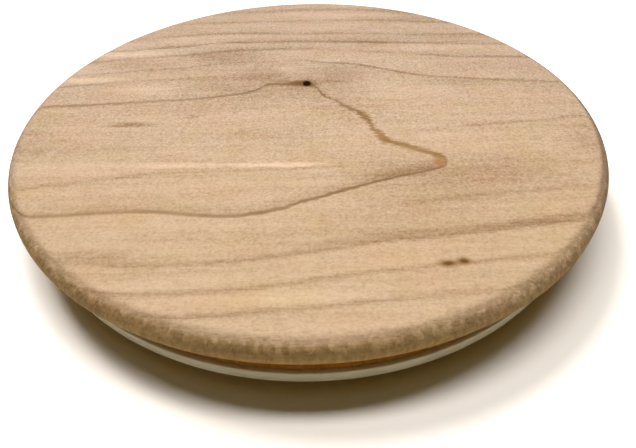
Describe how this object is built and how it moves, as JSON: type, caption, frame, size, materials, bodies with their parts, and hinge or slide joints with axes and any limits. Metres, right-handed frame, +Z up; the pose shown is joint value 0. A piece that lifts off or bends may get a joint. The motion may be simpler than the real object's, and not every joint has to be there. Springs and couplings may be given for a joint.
{
  "type": "cheese mold lid",
  "caption": "Round turned wooden lid with a rounded flange and a short neck that carries a flat white seal ring, clamped by a screwed base disc; closes or presses a small cylindrical mould.",
  "frame": {"origin": "centre of the base disc's bottom face, where the lid rests on a table", "axes": "+Z up through the middle of the disc, out of the wooden top face; +X along the wood grain"},
  "size_m": [0.1, 0.1, 0.0123],
  "materials": {
    "maple": "bare sanded flat-sawn hard maple",
    "maple_base": "bare sanded hard maple",
    "white_silicone": "satin food-grade silicone",
    "stainless": "plain stainless steel"
  },
  "bodies": {
    "root": {"lid_disc": "maple", "base_disc": "maple_base", "seal_ring": "white_silicone", "base_screw_1": "stainless", "base_screw_2": "stainless", "base_screw_3": "stainless", "base_screw_4": "stainless"}
  },
  "joints": []
}
